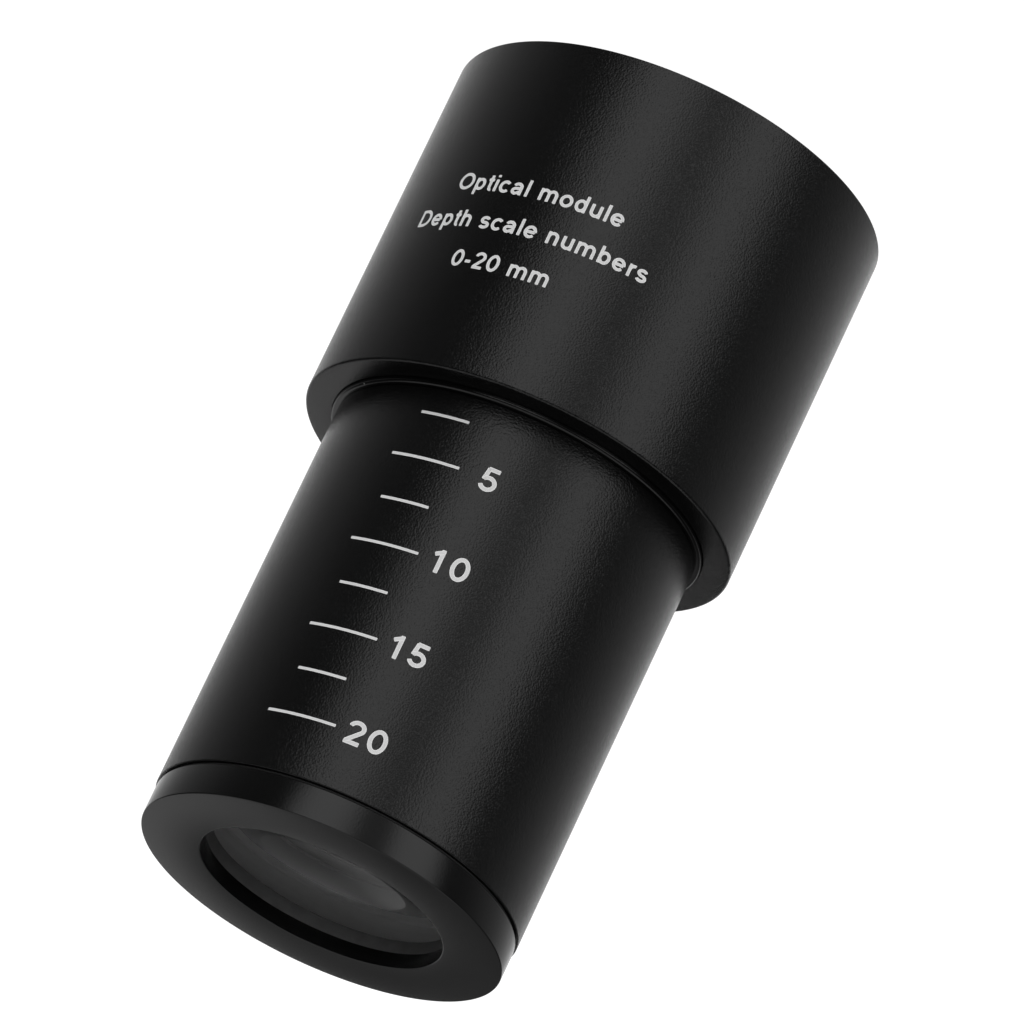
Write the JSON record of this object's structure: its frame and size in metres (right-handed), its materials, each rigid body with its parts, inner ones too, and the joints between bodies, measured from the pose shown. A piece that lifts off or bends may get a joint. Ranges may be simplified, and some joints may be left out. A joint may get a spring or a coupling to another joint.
{
  "type": "barlow lens",
  "caption": "Short barlow lens: a wide tubular body, a narrower barrel with a depth scale, and a screw-in nose cell holding a concave doublet.",
  "frame": {"origin": "centre of the wide camera end's face, which is the lowest point of the part", "axes": "+Z along the optical axis, from the wide end towards the lens nose; +X to the right and +Y away when the depth scale is in front"},
  "size_m": [0.0232, 0.0232, 0.0434],
  "materials": {
    "anodised_body": "bead-blasted, black anodised",
    "anodised_barrel": "bead-blasted, black anodised",
    "anodised_ring": "fine turned, black anodised, satin",
    "matt_black": "matt black anti-glare",
    "rubber_seal": "matt",
    "grey_shim": "plain turned, dull grey",
    "crown_glass": "polished, ground edge",
    "flint_glass": "polished, ground edge",
    "engraved_marks": "laser-marked pale scale and numbers"
  },
  "bodies": {
    "housing": {"camera_end_body": "anodised_body"},
    "seat_ring": {"barrel_seat_ring": "anodised_ring"},
    "barrel": {"graduated_barrel": "anodised_barrel", "rear_glare_stop": "matt_black", "front_glare_stop": "matt_black"},
    "nose_seal": {"nose_seal_ring": "rubber_seal"},
    "lens_cell": {"nose_cell": "anodised_ring", "lens_front_shim": "grey_shim", "front_lens": "crown_glass", "rear_lens": "flint_glass"},
    "slip_ring": {"lens_slip_ring": "matt_black"},
    "retainer": {"lens_retaining_ring": "matt_black"}
  },
  "joints": [
    {"name": "barrel_travel", "type": "slide", "parent": "housing", "child": "seat_ring", "axis": [0, 0, 1], "range_m": [0, 0.0046]},
    {"name": "barrel_turn", "type": "hinge", "parent": "seat_ring", "child": "barrel", "pos_m": [0, 0, 0.0195], "axis": [0, 0, 1], "range_deg": [0, 2208]},
    {"name": "nose_cell_travel", "type": "slide", "parent": "barrel", "child": "nose_seal", "axis": [0, 0, 1], "range_m": [0, 0.0034]},
    {"name": "nose_cell_turn", "type": "hinge", "parent": "nose_seal", "child": "lens_cell", "pos_m": [0, 0, 0.0417], "axis": [0, 0, 1], "range_deg": [0, 2448]},
    {"name": "retaining_ring_travel", "type": "slide", "parent": "lens_cell", "child": "slip_ring", "axis": [0, 0, -1], "range_m": [0, 0.0014]},
    {"name": "retaining_ring_turn", "type": "hinge", "parent": "slip_ring", "child": "retainer", "pos_m": [0, 0, 0.0373], "axis": [0, 0, -1], "range_deg": [0, 1008]}
  ],
  "couplings": [
    {"joint": "barrel_turn", "follows": "barrel_travel", "rad_per_m": 8377.6},
    {"joint": "nose_cell_turn", "follows": "nose_cell_travel", "rad_per_m": 12566},
    {"joint": "retaining_ring_turn", "follows": "retaining_ring_travel", "rad_per_m": 12566}
  ]
}
